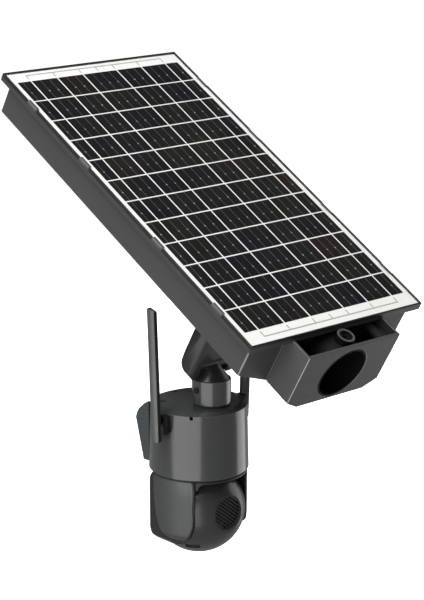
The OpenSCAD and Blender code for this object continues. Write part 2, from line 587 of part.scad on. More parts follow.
module card_cover() { color("#232424") head() intersection() {
  difference() { sphere(r = head_r - 1.4, $fn = 128); sphere(r = head_r - 3.4, $fn = 128); }
  card_place() box([-4.25, -8.15, -60], [4.25, 8.15, -44]);
} }
module sensor_board() { color("#1f5a3a") head() {
  box([-24, 8, -24], [24, 9.6, 24]);
  box([-6, 9.6, -6], [6, 11, 6]);
  for (x = [-21, 21], z = [-21, 21]) translate([x, 9.6, z]) cyl_y(2, 0, 4);
} }
module lens_barrel() { color("#121212") head() difference() {
  union() { cyl_y(13, 11.2, 24); cyl_y(11, 24, 38); }
  cyl_y(8.5, 30, 39);
} }
module ir_led_ring() { color("#e8e8e0") head() difference() {
  union() {
    cyl_y(25.5, 34, 35.6);
    for (a = [0:30:359]) rotate([0, a, 0]) translate([20, 0, 0]) cyl_y(2.5, 35.6, 39);
  }
  cyl_y(13, 33, 41);
} }
module lens_window() { color("#0d0f12", 0.5) head() cyl_y(window_r, 41.7, 43.6); }

housing_tub();
socket_block();
pole_sleeve();
socket_bolts();
lid_frame();
lid_gasket();
panel_clips();
backsheet();
solar_cells();
bus_ribbons();
solar_glass();
junction_box();
battery_tray();
battery_cells();
charge_controller();
power_switch();
drop_bracket();
bracket_screws();
hinge_bolt();
hinge_washers();
pole_lock_bolt();
power_button();
knuckle_neck();
mount_collar();
collar_screw();
top_cap();
cap_screws();
barrel_shell();
hood_shell();
lamp_lens();
lamp_leds();
pir_lens();
main_board();
pan_chassis();
pan_bearing();
pan_motor();
pan_pinion();
antenna_mounts();
antenna_left();
antenna_right();
yoke_frame();
cheek_cover_left();
cheek_cover_right();
cheek_screws();
pan_gear();
pan_retainer();
tilt_motor();
tilt_pinion();
head_rear_shell();
head_front_shell();
speaker_grille();
speaker();
tilt_trunnions();
tilt_gear();
card_cover();
sensor_board();
lens_barrel();
ir_led_ring();
lens_window();
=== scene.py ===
import json
import math

import bmesh
import bpy
from mathutils import Matrix, Vector


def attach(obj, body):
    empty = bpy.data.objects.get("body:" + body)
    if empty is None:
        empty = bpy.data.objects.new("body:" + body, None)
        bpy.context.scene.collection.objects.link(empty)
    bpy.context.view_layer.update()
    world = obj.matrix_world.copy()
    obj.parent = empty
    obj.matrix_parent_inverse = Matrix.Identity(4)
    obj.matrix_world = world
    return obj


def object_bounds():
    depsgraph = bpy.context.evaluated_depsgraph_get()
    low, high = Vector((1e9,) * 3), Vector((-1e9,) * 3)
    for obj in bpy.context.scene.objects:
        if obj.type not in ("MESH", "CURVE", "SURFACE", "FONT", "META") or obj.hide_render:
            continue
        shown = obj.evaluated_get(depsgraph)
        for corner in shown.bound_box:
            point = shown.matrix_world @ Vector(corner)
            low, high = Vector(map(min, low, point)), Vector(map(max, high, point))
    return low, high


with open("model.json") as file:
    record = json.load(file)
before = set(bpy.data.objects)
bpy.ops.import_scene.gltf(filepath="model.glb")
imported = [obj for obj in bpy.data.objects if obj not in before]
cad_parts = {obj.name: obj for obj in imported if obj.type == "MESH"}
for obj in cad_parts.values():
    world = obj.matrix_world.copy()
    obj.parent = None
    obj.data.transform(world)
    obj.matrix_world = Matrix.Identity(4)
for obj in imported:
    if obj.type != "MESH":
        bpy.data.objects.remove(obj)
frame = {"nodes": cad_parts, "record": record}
cad_lo, cad_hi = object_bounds()
NODES = frame["nodes"]
SLOT = {s["node"]: s["material_slot"] for s in frame["record"]["subparts"]}
MM = 0.001
TILT = math.radians(30)


def hp(x, y, z):
    """A point of the housing's own frame, in mm, in the row frame, in metres."""
    c, s = math.cos(TILT), math.sin(TILT)
    return Vector((x, y * c - z * s, y * s + z * c)) * MM


# ---------------------------------------------------------------- camera
AZ, EL = math.radians(-42.713), math.radians(14.864)
right = Vector((math.cos(AZ), math.sin(AZ), 0))
back = Vector((math.sin(AZ) * math.cos(EL), -math.cos(AZ) * math.cos(EL), math.sin(EL)))
up = back.cross(right)
cam = bpy.data.objects.new("camera", bpy.data.cameras.new("camera"))
bpy.context.scene.collection.objects.link(cam)
cam.location = (right * -135.103 + up * 75.905 + back * 2107.18) * MM
cam.rotation_mode = "QUATERNION"
cam.rotation_quaternion = Matrix((right, up, back)).transposed().to_quaternion()
cam.data.sensor_fit = "AUTO"
cam.data.sensor_width = 36
cam.data.lens = 2030.43 / 600 * 36
cam.data.clip_start, cam.data.clip_end = 0.05, 200
bpy.context.scene.camera = cam

# ---------------------------------------------------------------- light
scene = bpy.context.scene
scene.view_settings.view_transform = "Standard"
scene.view_settings.look = "None"

world = bpy.data.worlds.new("studio")
scene.world = world
world.use_nodes = True
wt = world.node_tree
wt.nodes.clear()
w_out = wt.nodes.new("ShaderNodeOutputWorld")
w_mix = wt.nodes.new("ShaderNodeMixShader")
w_path = wt.nodes.new("ShaderNodeLightPath")
w_seen = wt.nodes.new("ShaderNodeBackground")
w_seen.inputs["Color"].default_value = (1, 1, 1, 1)
w_amb = wt.nodes.new("ShaderNodeBackground")
w_geo = wt.nodes.new("ShaderNodeTexCoord")
w_sep = wt.nodes.new("ShaderNodeSeparateXYZ")
w_ramp = wt.nodes.new("ShaderNodeValToRGB")
w_map = wt.nodes.new("ShaderNodeMapRange")
w_map.inputs["From Min"].default_value = -1
w_map.inputs["From Max"].default_value = 1
wt.links.new(w_geo.outputs["Generated"], w_sep.inputs[0])
wt.links.new(w_sep.outputs["Z"], w_map.inputs["Value"])
wt.links.new(w_map.outputs[0], w_ramp.inputs["Fac"])
wt.links.new(w_ramp.outputs["Color"], w_amb.inputs["Color"])
els = w_ramp.color_ramp.elements
els[0].position, els[0].color = 0.0, (0.42, 0.42, 0.42, 1)
els[1].position, els[1].color = 1.0, (0.045, 0.045, 0.048, 1)
e = els.new(0.40); e.color = (0.26, 0.26, 0.26, 1)
e = els.new(0.52); e.color = (0.13, 0.13, 0.13, 1)
e = els.new(0.72); e.color = (0.07, 0.07, 0.073, 1)
wt.links.new(w_path.outputs["Is Camera Ray"], w_mix.inputs["Fac"])
wt.links.new(w_amb.outputs[0], w_mix.inputs[1])
wt.links.new(w_seen.outputs[0], w_mix.inputs[2])
wt.links.new(w_mix.outputs[0], w_out.inputs["Surface"])


def softbox(name, theta, elevation, size_x, size_z, dist, radiance, target=(0, 0.15, -0.02)):
    """An area light: theta degrees to the right of the camera, seen from the object."""
    t, e = math.radians(theta), math.radians(elevation)
    bh = Vector((back.x, back.y, 0)).normalized()
    d = (bh * math.cos(t) + right * math.sin(t)) * math.cos(e) + Vector((0, 0, math.sin(e)))
    data = bpy.data.lights.new(name, "AREA")
    data.shape = "RECTANGLE"
    data.size, data.size_y = size_x, size_z
    data.energy = radiance * math.pi * size_x * size_z
    o = bpy.data.objects.new(name, data)
    scene.collection.objects.link(o)
    o.location = Vector(target) + d * dist
    o.rotation_mode = "QUATERNION"
    o.rotation_quaternion = d.to_track_quat("Z", "Y")
    o.visible_camera = False
    return o


softbox("key_left", -28.5, -6, 3.3, 3.4, 2.6, 1.75, target=(0, 0.22, -0.12))
softbox("rim_right", 118, -6, 1.5, 2.8, 2.4, 1.45, target=(0, 0.22, -0.12))
softbox("top", -35, 62, 2.2, 2.2, 2.6, 6.4)
softbox("back_fill", 178, 2, 2.8, 2.8, 2.8, 2.0, target=(0, 0.22, -0.12)).visible_glossy = False

# ---------------------------------------------------------------- floor
me = bpy.data.meshes.new("floor")
z0 = cad_lo.z - 0.45
me.from_pydata([(-40, -40, z0), (40, -40, z0), (40, 40, z0), (-40, 40, z0)], [], [(0, 1, 2, 3)])
floor = bpy.data.objects.new("floor", me)
scene.collection.objects.link(floor)
floor.visible_diffuse = False
floor.visible_glossy = False
floor.visible_transmission = False
floor.visible_shadow = False


# ---------------------------------------------------------------- materials
def new_mat(name):
    m = bpy.data.materials.new(name)
    m.use_nodes = True
    t = m.node_tree
    t.nodes.clear()
    out = t.nodes.new("ShaderNodeOutputMaterial")
    p = t.nodes.new("ShaderNodeBsdfPrincipled")
    t.links.new(p.outputs[0], out.inputs["Surface"])
    return m, t, p


def noise(t, scale, detail=2.0, rough=0.5, vec=None, dist=0.0):
    n = t.nodes.new("ShaderNodeTexNoise")
    n.inputs["Scale"].default_value = scale
    n.inputs["Detail"].default_value = detail
    n.inputs["Roughness"].default_value = rough
    n.inputs["Distortion"].default_value = dist
    if vec is not None:
        t.links.new(vec, n.inputs["Vector"])
    return n


def coords(t):
    return t.nodes.new("ShaderNodeTexCoord").outputs["Object"]


def mapping(t, vec, rot=(0, 0, 0), scale=(1, 1, 1), loc=(0, 0, 0)):
    m = t.nodes.new("ShaderNodeMapping")
    m.inputs["Rotation"].default_value = rot
    m.inputs["Scale"].default_value = scale
    m.inputs["Location"].default_value = loc
    t.links.new(vec, m.inputs["Vector"])
    return m.outputs[0]


def ramp(t, fac, stops):
    r = t.nodes.new("ShaderNodeValToRGB")
    el = r.color_ramp.elements
    while len(el) > 1:
        el.remove(el[-1])
    el[0].position, el[0].color = stops[0][0], (*stops[0][1], 1)
    for pos, col in stops[1:]:
        el.new(pos).color = (*col, 1)
    t.links.new(fac, r.inputs["Fac"])
    return r.outputs["Color"]


def spread(t, fac, lo, hi, a=0.3, b=0.7):
    m = t.nodes.new("ShaderNodeMapRange")
    m.inputs["From Min"].default_value = a
    m.inputs["From Max"].default_value = b
    m.inputs["To Min"].default_value = lo
    m.inputs["To Max"].default_value = hi
    t.links.new(fac, m.inputs["Value"])
    return m.outputs[0]


def bump(t, p, height, strength, distance):
    b = t.nodes.new("ShaderNodeBump")
    b.inputs["Strength"].default_value = strength
    b.inputs["Distance"].default_value = distance
    t.links.new(height, b.inputs["Height"])
    t.links.new(b.outputs[0], p.inputs["Normal"])
    return b


def shade(col, f):
    return tuple(min(1.0, c * f) for c in col)


def plastic(name, col, rough, grain=2200, grain_strength=0.10, var=0.07, coat=0.0, coat_rough=0.12, spec=0.5, dust=0.0):
    """Moulded plastic: fine spark-eroded grain, slow colour drift and uneven gloss."""
    m, t, p = new_mat(name)
    v = coords(t)
    slow = noise(t, 14, 3, 0.55, v)
    fine = noise(t, grain, 2, 0.6, v)
    mid = noise(t, 160, 4, 0.6, v)
    mix = t.nodes.new("ShaderNodeMath"); mix.operation = "MULTIPLY_ADD"
    t.links.new(fine.outputs["Fac"], mix.inputs[0])
    mix.inputs[1].default_value = 0.25
    t.links.new(slow.outputs["Fac"], mix.inputs[2])
    t.links.new(ramp(t, mix.outputs[0], [(0.36, shade(col, 1 - var)), (0.62, col), (0.92, shade(col, 1 + var + dust))]), p.inputs["Base Color"])
    t.links.new(spread(t, mid.outputs["Fac"], rough - 0.04, rough + 0.05), p.inputs["Roughness"])
    p.inputs["Specular IOR Level"].default_value = spec
    if coat:
        p.inputs["Coat Weight"].default_value = coat
        p.inputs["Coat Roughness"].default_value = coat_rough
    if grain_strength:
        bump(t, p, fine.outputs["Fac"], grain_strength, 0.00025)
    return m


def metal(name, col, rough=0.3, brushed=(1, 1, 1), var=0.12, metallic=1.0):
    """Plated or brushed metal: streaks along one axis and small blotches."""
    m, t, p = new_mat(name)
    v = coords(t)
    streak = noise(t, 900, 3, 0.6, mapping(t, v, scale=brushed))
    blot = noise(t, 55, 4, 0.65, v)
    t.links.new(ramp(t, blot.outputs["Fac"], [(0.32, shade(col, 1 - var)), (0.55, col), (0.75, shade(col, 1 + var))]), p.inputs["Base Color"])
    p.inputs["Metallic"].default_value = metallic
    t.links.new(spread(t, streak.outputs["Fac"], rough - 0.08, rough + 0.1), p.inputs["Roughness"])
    bump(t, p, streak.outputs["Fac"], 0.08, 0.0002)
    return m


def rubber(name, col, rough=0.6):
    m, t, p = new_mat(name)
    v = coords(t)
    fine = noise(t, 1500, 3, 0.7, v)
    slow = noise(t, 30, 3, 0.5, v)
    t.links.new(ramp(t, slow.outputs["Fac"], [(0.35, shade(col, 0.85)), (0.65, shade(col, 1.2))]), p.inputs["Base Color"])
    t.links.new(spread(t, fine.outputs["Fac"], rough - 0.06, rough + 0.08), p.inputs["Roughness"])
    bump(t, p, fine.outputs["Fac"], 0.15, 0.0003)
    return m


def facing(t, direction, a, b):
    """1 where the surface faces a direction fixed to its own body, 0 where it doesn't."""
    g = t.nodes.new("ShaderNodeTexCoord")
    d = t.nodes.new("ShaderNodeVectorMath"); d.operation = "DOT_PRODUCT"
    t.links.new(g.outputs["Normal"], d.inputs[0])
    d.inputs[1].default_value = tuple(direction)
    return spread(t, d.outputs["Value"], 0.0, 1.0, a, b)


def add_mix(t, p, fac, col, rough=None):
    """Lay a second colour (and gloss) over the base colour by a mask."""
    src = p.inputs["Base Color"].links[0].from_socket
    mx = t.nodes.new("ShaderNodeMix"); mx.data_type = "RGBA"
    t.links.new(fac, mx.inputs["Factor"])
    t.links.new(src, mx.inputs[6])
    n = noise(t, 60, 3, 0.6, coords(t))
    t.links.new(ramp(t, n.outputs["Fac"], [(0.35, shade(col, 0.94)), (0.65, shade(col, 1.05))]), mx.inputs[7])
    t.links.new(mx.outputs[2], p.inputs["Base Color"])
    if rough is not None:
        r0 = p.inputs["Roughness"].links[0].from_socket
        rx = t.nodes.new("ShaderNodeMix"); rx.data_type = "FLOAT"
        t.links.new(fac, rx.inputs["Factor"])
        t.links.new(r0, rx.inputs[2])
        t.links.new(spread(t, n.outputs["Fac"], rough - 0.03, rough + 0.03), rx.inputs[3])
        t.links.new(rx.outputs[0], p.inputs["Roughness"])


def edge_highlight_material(name, col, rough, light, direction, a, b):
    """Painted highlight on the rounded edge of a moulding: lighter where it turns towards a fixed direction."""
    m = plastic(name, col, rough, grain_strength=0)
    t = m.node_tree
    p = next(n for n in t.nodes if n.type == "BSDF_PRINCIPLED")
    add_mix(t, p, facing(t, direction, a, b), light)
    return m


def panel_coords(t):
    """Texture coordinates in the panel's own frame."""
    return mapping(t, coords(t), rot=(-TILT, 0, 0))


def cell_material():
    m, t, p = new_mat("cell_silicon")
    v = panel_coords(t)
    geo = t.nodes.new("ShaderNodeNewGeometry")
    tint = ramp(t, geo.outputs["Random Per Island"], [
        (0.0, (0.0060, 0.0062, 0.0100)), (0.22, (0.0082, 0.0082, 0.0110)), (0.45, (0.0100, 0.0100, 0.0092)),
        (0.68, (0.0108, 0.0112, 0.0088)), (0.86, (0.0080, 0.0088, 0.0110)), (1.0, (0.0150, 0.0095, 0.0085))])
    cloud = noise(t, 26, 4, 0.6, v)
    drift = noise(t, 4.5, 1, 0.5, v)
    sep = t.nodes.new("ShaderNodeSeparateXYZ")
    t.links.new(v, sep.inputs[0])
    # finger lines, 1.6 mm apart
    f = t.nodes.new("ShaderNodeMath"); f.operation = "MULTIPLY"; f.inputs[1].default_value = 2 * math.pi / 0.0016
    t.links.new(sep.outputs["Y"], f.inputs[0])
    sn = t.nodes.new("ShaderNodeMath"); sn.operation = "SINE"
    t.links.new(f.outputs[0], sn.inputs[0])
    line = spread(t, sn.outputs[0], 0.0, 1.0, 0.86, 0.97)
    mixa = t.nodes.new("ShaderNodeMix"); mixa.data_type = "RGBA"; mixa.blend_type = "MULTIPLY"
    mixa.inputs["Factor"].default_value = 1.0
    t.links.new(tint, mixa.inputs[6])
    t.links.new(ramp(t, cloud.outputs["Fac"], [(0.3, (0.72, 0.72, 0.74)), (0.5, (1, 1, 1)), (0.72, (1.35, 1.35, 1.28))]), mixa.inputs[7])
    mixd = t.nodes.new("ShaderNodeMix"); mixd.data_type = "RGBA"; mixd.blend_type = "MULTIPLY"
    mixd.inputs["Factor"].default_value = 1.0
    t.links.new(mixa.outputs[2], mixd.inputs[6])
    t.links.new(ramp(t, drift.outputs["Fac"], [(0.35, (0.70, 0.72, 0.85)), (0.62, (1.15, 1.12, 0.98))]), mixd.inputs[7])
    mixb = t.nodes.new("ShaderNodeMix"); mixb.data_type = "RGBA"; mixb.blend_type = "MIX"
    t.links.new(line, mixb.inputs["Factor"])
    t.links.new(mixd.outputs[2], mixb.inputs[6])
    mixb.inputs[7].default_value = (0.030, 0.030, 0.031, 1)
    t.links.new(mixb.outputs[2], p.inputs["Base Color"])
    t.links.new(spread(t, cloud.outputs["Fac"], 0.30, 0.42), p.inputs["Roughness"])
    p.inputs["Specular IOR Level"].default_value = 0.08
    return m


def sheet_material():
    m, t, p = new_mat("sheet_white")
    v = panel_coords(t)
    weave = t.nodes.new("ShaderNodeTexChecker")
    weave.inputs["Scale"].default_value = 900
    weave.inputs["Color1"].default_value = (0.93, 0.93, 0.90, 1)
    weave.inputs["Color2"].default_value = (0.915, 0.915, 0.885, 1)
    t.links.new(v, weave.inputs["Vector"])
    slow = noise(t, 22, 4, 0.6, v)
    mx = t.nodes.new("ShaderNodeMix"); mx.data_type = "RGBA"; mx.blend_type = "MULTIPLY"
    mx.inputs["Factor"].default_value = 1.0
    t.links.new(weave.outputs["Color"], mx.inputs[6])
    t.links.new(ramp(t, slow.outputs["Fac"], [(0.3, (0.985, 0.985, 0.98)), (0.6, (1, 1, 1))]), mx.inputs[7])
    t.links.new(mx.outputs[2], p.inputs["Base Color"])
    t.links.new(spread(t, slow.outputs["Fac"], 0.42, 0.55), p.inputs["Roughness"])
    p.inputs["Coat Weight"].default_value = 0.6
    p.inputs["Coat Roughness"].default_value = 0.05
    return m


def clear(name, col, alpha, rough, haze=0.02):
    m, t, p = new_mat(name)
    v = coords(t)
    n = noise(t, 40, 3, 0.6, v)
    t.links.new(ramp(t, n.outputs["Fac"], [(0.35, shade(col, 0.97)), (0.65, col)]), p.inputs["Base Color"])
    t.links.new(spread(t, n.outputs["Fac"], max(0.01, rough - 0.02), rough + haze), p.inputs["Roughness"])
    p.inputs["Alpha"].default_value = alpha
    p.inputs["Specular IOR Level"].default_value = 0.5
    m.blend_method = "BLEND"
    return m


def board(name, col, col2):
    m, t, p = new_mat(name)
    v = coords(t)
    b = t.nodes.new("ShaderNodeTexBrick")
    b.inputs["Scale"].default_value = 160
    b.inputs["Color1"].default_value = (*col, 1)
    b.inputs["Color2"].default_value = (*shade(col, 1.25), 1)
    b.inputs["Mortar"].default_value = (*col2, 1)
    b.inputs["Mortar Size"].default_value = 0.03
    t.links.new(v, b.inputs["Vector"])
    t.links.new(b.outputs["Color"], p.inputs["Base Color"])
    n = noise(t, 200, 3, 0.5, v)
    t.links.new(spread(t, n.outputs["Fac"], 0.25, 0.4), p.inputs["Roughness"])
    return m


MATS = {
    "housing_grey": plastic("housing_grey", (0.054, 0.054, 0.054), 0.42, var=0.06),
    "block_grey": plastic("block_grey", (0.062, 0.064, 0.063), 0.42, var=0.06),
    "sleeve_metal": metal("sleeve_metal", (0.0045, 0.0046, 0.0046), 0.55, metallic=0.0),
    "zinc_steel": metal("zinc_steel", (0.52, 0.52, 0.50), 0.3),
    "frame_black": plastic("frame_black", (0.010, 0.010, 0.011), 0.34, var=0.12),
    "seal_rubber": rubber("seal_rubber", (0.010, 0.010, 0.010)),
    "clip_grey": metal("clip_grey", (0.10, 0.10, 0.098), 0.5, metallic=0.3),
    "sheet_white": sheet_material(),
    "cell_silicon": cell_material(),
    "ribbon_tin": metal("ribbon_tin", (0.48, 0.48, 0.45), 0.45, metallic=0.2),
    "panel_glass": clear("panel_glass", (0.030, 0.034, 0.034), 0.02, 0.04),
    "box_black": plastic("box_black", (0.006, 0.006, 0.006), 0.7, grain_strength=0, spec=0.2),
    "battery_blue": plastic("battery_blue", (0.06, 0.18, 0.42), 0.3, var=0.03),
    "board_green": board("board_green", (0.02, 0.12, 0.05), (0.05, 0.22, 0.10)),
    "bracket_grey": plastic("bracket_grey", (0.030, 0.031, 0.032), 0.36),
    "bolt_black": metal("bolt_black", (0.03, 0.03, 0.031), 0.35, metallic=0.8),
    "button_red": plastic("button_red", (0.45, 0.03, 0.02), 0.32, var=0.05),
    "neck_black": plastic("neck_black", (0.016, 0.016, 0.017), 0.30),
    "collar_grey": plastic("collar_grey", (0.046, 0.049, 0.047), 0.22, grain_strength=0, coat=0.6, coat_rough=0.14),
    "cap_grey": plastic("cap_grey", (0.034, 0.038, 0.036), 0.16, grain_strength=0),
    "barrel_grey": plastic("barrel_grey", (0.042, 0.045, 0.043), 0.22, grain_strength=0, coat=0.6, coat_rough=0.14),
    "hood_grey": plastic("hood_grey", (0.045, 0.052, 0.055), 0.28, grain_strength=0),
    "lamp_clear": clear("lamp_clear", (0.93, 0.95, 0.97), 0.25, 0.08),
    "led_board": board("led_board", (0.80, 0.78, 0.60), (0.9, 0.9, 0.85)),
    "pir_white": plastic("pir_white", (0.82, 0.83, 0.81), 0.38, var=0.02),
    "inner_black": plastic("inner_black", (0.014, 0.014, 0.015), 0.5),
    "bearing_steel": metal("bearing_steel", (0.6, 0.6, 0.6), 0.22),
    "motor_steel": metal("motor_steel", (0.46, 0.47, 0.48), 0.3),
    "gear_nylon": plastic("gear_nylon", (0.78, 0.76, 0.68), 0.42, var=0.03),
    # mount_black: painted shade; the antenna mounts sit in shadow and are coloured near black for it.
    "mount_black": plastic("mount_black", (0.006, 0.006, 0.006), 0.5, grain_strength=0, spec=0.3),
    "antenna_black": plastic("antenna_black", (0.056, 0.058, 0.058), 0.34, grain_strength=0),
    "cheek_grey": plastic("cheek_grey", (0.0465, 0.0493, 0.0484), 0.46, grain_strength=0),
    "head_grey": plastic("head_grey", (0.032, 0.033, 0.033), 0.26, grain_strength=0),
    "front_black": plastic("front_black", (0.010, 0.010, 0.011), 0.12, grain_strength=0.01, coat=0.6, coat_rough=0.03),
    "grille_black": plastic("grille_black", (0.0030, 0.0031, 0.0031), 0.6, grain_strength=0, spec=0.1),
    "smoked_glass": clear("smoked_glass", (0.012, 0.012, 0.014), 0.45, 0.04),
}

PN = Vector((0, -math.sin(TILT), math.cos(TILT)))     # square to the panel
PD = Vector((0, -math.cos(TILT), -math.sin(TILT)))    # down the slope


def tree(slot_name):
    t = MATS[slot_name].node_tree
    return t, next(n for n in t.nodes if n.type == "BSDF_PRINCIPLED")


# The panel frame is black on top and as grey as the housing on its sides.
ft, fp = tree("frame_black")
v = panel_coords(ft)
sep = ft.nodes.new("ShaderNodeSeparateXYZ")
ft.links.new(v, sep.inputs[0])
add_mix(ft, fp, spread(ft, sep.outputs["Z"], 1.0, 0.0, 0.0392, 0.0402), (0.046, 0.046, 0.046), 0.40)

def pocket(t, p):
    """Painted shade: near black inside the pocket above the pole socket, where the recess lies in shade."""
    v = panel_coords(t)
    sep = t.nodes.new("ShaderNodeSeparateXYZ")
    t.links.new(v, sep.inputs[0])
    ax = t.nodes.new("ShaderNodeMath"); ax.operation = "ABSOLUTE"
    t.links.new(sep.outputs["X"], ax.inputs[0])
    both = t.nodes.new("ShaderNodeMath"); both.operation = "MULTIPLY"
    t.links.new(spread(t, ax.outputs[0], 1.0, 0.0, 0.0652, 0.0660), both.inputs[0])
    t.links.new(spread(t, sep.outputs["Y"], 0.0, 1.0, 0.0015, 0.0030), both.inputs[1])
    both2 = t.nodes.new("ShaderNodeMath"); both2.operation = "MULTIPLY"
    t.links.new(both.outputs[0], both2.inputs[0])
    t.links.new(spread(t, sep.outputs["Z"], 1.0, 0.0, 0.0374, 0.0379), both2.inputs[1])
    add_mix(t, p, both2.outputs[0], (0.004, 0.004, 0.004), 0.85)


# Painted shade in the socket pocket, on the socket block's own material.
pocket(*tree("block_grey"))

# Painted highlight: a light line where the socket block meets the housing's lower end, on the faces turned down the
# slope.
ft, fp = tree("housing_grey")
v = panel_coords(ft)
sep = ft.nodes.new("ShaderNodeSeparateXYZ")
ft.links.new(v, sep.inputs[0])
seam_highlight = ft.nodes.new("ShaderNodeMath"); seam_highlight.operation = "COMPARE"
ft.links.new(sep.outputs["X"], seam_highlight.inputs[0])
seam_highlight.inputs[1].default_value = -0.0683
seam_highlight.inputs[2].default_value = 0.0006
both = ft.nodes.new("ShaderNodeMath"); both.operation = "MULTIPLY"
ft.links.new(seam_highlight.outputs[0], both.inputs[0])
ft.links.new(facing(ft, PD, 0.9, 0.97), both.inputs[1])
add_mix(ft, fp, both.outputs[0], (0.30, 0.30, 0.295))
# Painted shade: the same wall is near black where it closes the pocket.
ax = ft.nodes.new("ShaderNodeMath"); ax.operation = "ABSOLUTE"
ft.links.new(sep.outputs["X"], ax.inputs[0])
back_wall_shade = ft.nodes.new("ShaderNodeMath"); back_wall_shade.operation = "MULTIPLY"
ft.links.new(spread(ft, ax.outputs[0], 1.0, 0.0, 0.0648, 0.0656), back_wall_shade.inputs[0])
ft.links.new(facing(ft, PD, 0.9, 0.97), back_wall_shade.inputs[1])
add_mix(ft, fp, back_wall_shade.outputs[0], (0.004, 0.004, 0.004), 0.85)

# Painted highlight: the boss round the lock bolt gets a lighter rim where its top faces up along the panel normal.
ft, fp = tree("sleeve_metal")
fp.inputs["Specular IOR Level"].default_value = 0.1
v = panel_coords(ft)
sep = ft.nodes.new("ShaderNodeSeparateXYZ")
ft.links.new(v, sep.inputs[0])
rim = ft.nodes.new("ShaderNodeMath"); rim.operation = "MULTIPLY"
ft.links.new(spread(ft, sep.outputs["Z"], 0.0, 1.0, 0.0370, 0.0378), rim.inputs[0])
ft.links.new(facing(ft, PN, 0.60, 0.90), rim.inputs[1])
off = ft.nodes.new("ShaderNodeVectorMath"); off.operation = "MULTIPLY_ADD"
ft.links.new(v, off.inputs[0])
off.inputs[1].default_value = (1, 1, 0)
off.inputs[2].default_value = (0, -0.017, 0)
far = ft.nodes.new("ShaderNodeVectorMath"); far.operation = "LENGTH"
ft.links.new(off.outputs[0], far.inputs[0])
rim_highlight = ft.nodes.new("ShaderNodeMath"); rim_highlight.operation = "MULTIPLY"
ft.links.new(rim.outputs[0], rim_highlight.inputs[0])
ft.links.new(spread(ft, far.outputs["Value"], 0.0, 1.0, 0.0072, 0.0078), rim_highlight.inputs[1])
add_mix(ft, fp, rim_highlight.outputs[0], (0.085, 0.088, 0.088), 0.4)

# Antennas: a broad grey face with one painted highlight stripe, painted shade (near black) on the narrow side turned to
# -Y, and black at the boss.
ft, fp = tree("antenna_black")
gen = ft.nodes.new("ShaderNodeTexCoord")
sep = ft.nodes.new("ShaderNodeSeparateXYZ")
ft.links.new(gen.outputs["Generated"], sep.inputs[0])
highlight_stripe = ramp(ft, sep.outputs["Y"], [(0.24, (0, 0, 0)), (0.30, (1, 1, 1)), (0.52, (1, 1, 1)), (0.72, (0.25, 0.25, 0.25)), (0.93, (0.15, 0.15, 0.15)), (0.99, (0, 0, 0))])
add_mix(ft, fp, highlight_stripe, (0.150, 0.154, 0.150), 0.36)
add_mix(ft, fp, spread(ft, sep.outputs["Y"], 1.0, 0.0, 0.252, 0.262), (0.008, 0.008, 0.008), 0.5)
add_mix(ft, fp, facing(ft, (0, -1, 0), 0.55, 0.8), (0.007, 0.007, 0.008), 0.45)

# The grille: grey on its face; everything not facing -Y, the walls of its slots, keeps a near-black painted shade.
ft, fp = tree("grille_black")
add_mix(ft, fp, facing(ft, (0, -1, 0), 0.80, 0.93), (0.042, 0.043, 0.043), 0.42)

# The cap: painted light makes it lighter towards the left antenna; painted shade makes it darker round the collar and
# to the right.
ft, fp = tree("cap_grey")
gen = ft.nodes.new("ShaderNodeTexCoord")
sep = ft.nodes.new("ShaderNodeSeparateXYZ")
ft.links.new(gen.outputs["Generated"], sep.inputs[0])
add_mix(ft, fp, spread(ft, sep.outputs["X"], 1.0, 0.0, 0.30, 0.52), (0.060, 0.066, 0.064), 0.22)
add_mix(ft, fp, spread(ft, sep.outputs["X"], 0.0, 1.0, 0.52, 0.66), (0.014, 0.015, 0.015), 0.18)

NEAR = (-0.707, -0.612, -0.354)      # between the left side and the lower end
# Painted highlight materials for rounded edges: a lighter colour where each edge turns towards the light.
EDGE = {
    "block_edge_highlight": edge_highlight_material("block_edge_highlight", (0.062, 0.064, 0.063), 0.40, (0.50, 0.50, 0.49), NEAR, 0.78, 0.88),
    "tub_edge_highlight": edge_highlight_material("tub_edge_highlight", (0.054, 0.054, 0.054), 0.40, (0.30, 0.30, 0.295), NEAR, 0.78, 0.88),
    "bracket_edge_highlight": edge_highlight_material("bracket_edge_highlight", (0.030, 0.031, 0.032), 0.36, (0.42, 0.42, 0.42), NEAR, 0.78, 0.88),
    "collar_edge_highlight": edge_highlight_material("collar_edge_highlight", (0.070, 0.073, 0.071), 0.26, (0.20, 0.20, 0.195), (-0.58, -0.62, 0.53), 0.72, 0.95),
}
_t = EDGE["block_edge_highlight"].node_tree
# The block's edge highlight material also gets the painted pocket shade.
pocket(_t, next(n for n in _t.nodes if n.type == "BSDF_PRINCIPLED"))
# Nodes whose rounded edges carry a painted highlight line.
EDGE_OF = {"socket_block": "block_edge_highlight", "housing_tub": "tub_edge_highlight", "drop_bracket": "bracket_edge_highlight",
           "mount_collar": "collar_edge_highlight", "barrel_shell": "collar_edge_highlight"}

fm, ft, fp = new_mat("floor_pale")
fn = noise(ft, 0.8, 2, 0.5, coords(ft))
ft.links.new(ramp(ft, fn.outputs["Fac"], [(0.3, (0.97, 0.97, 0.97)), (0.7, (1, 1, 1))]), fp.inputs["Base Color"])
fp.inputs["Roughness"].default_value = 0.9
fp.inputs["Emission Color"].default_value = (1, 1, 1, 1)
fp.inputs["Emission Strength"].default_value = 1.0
floor.data.materials.append(fm)

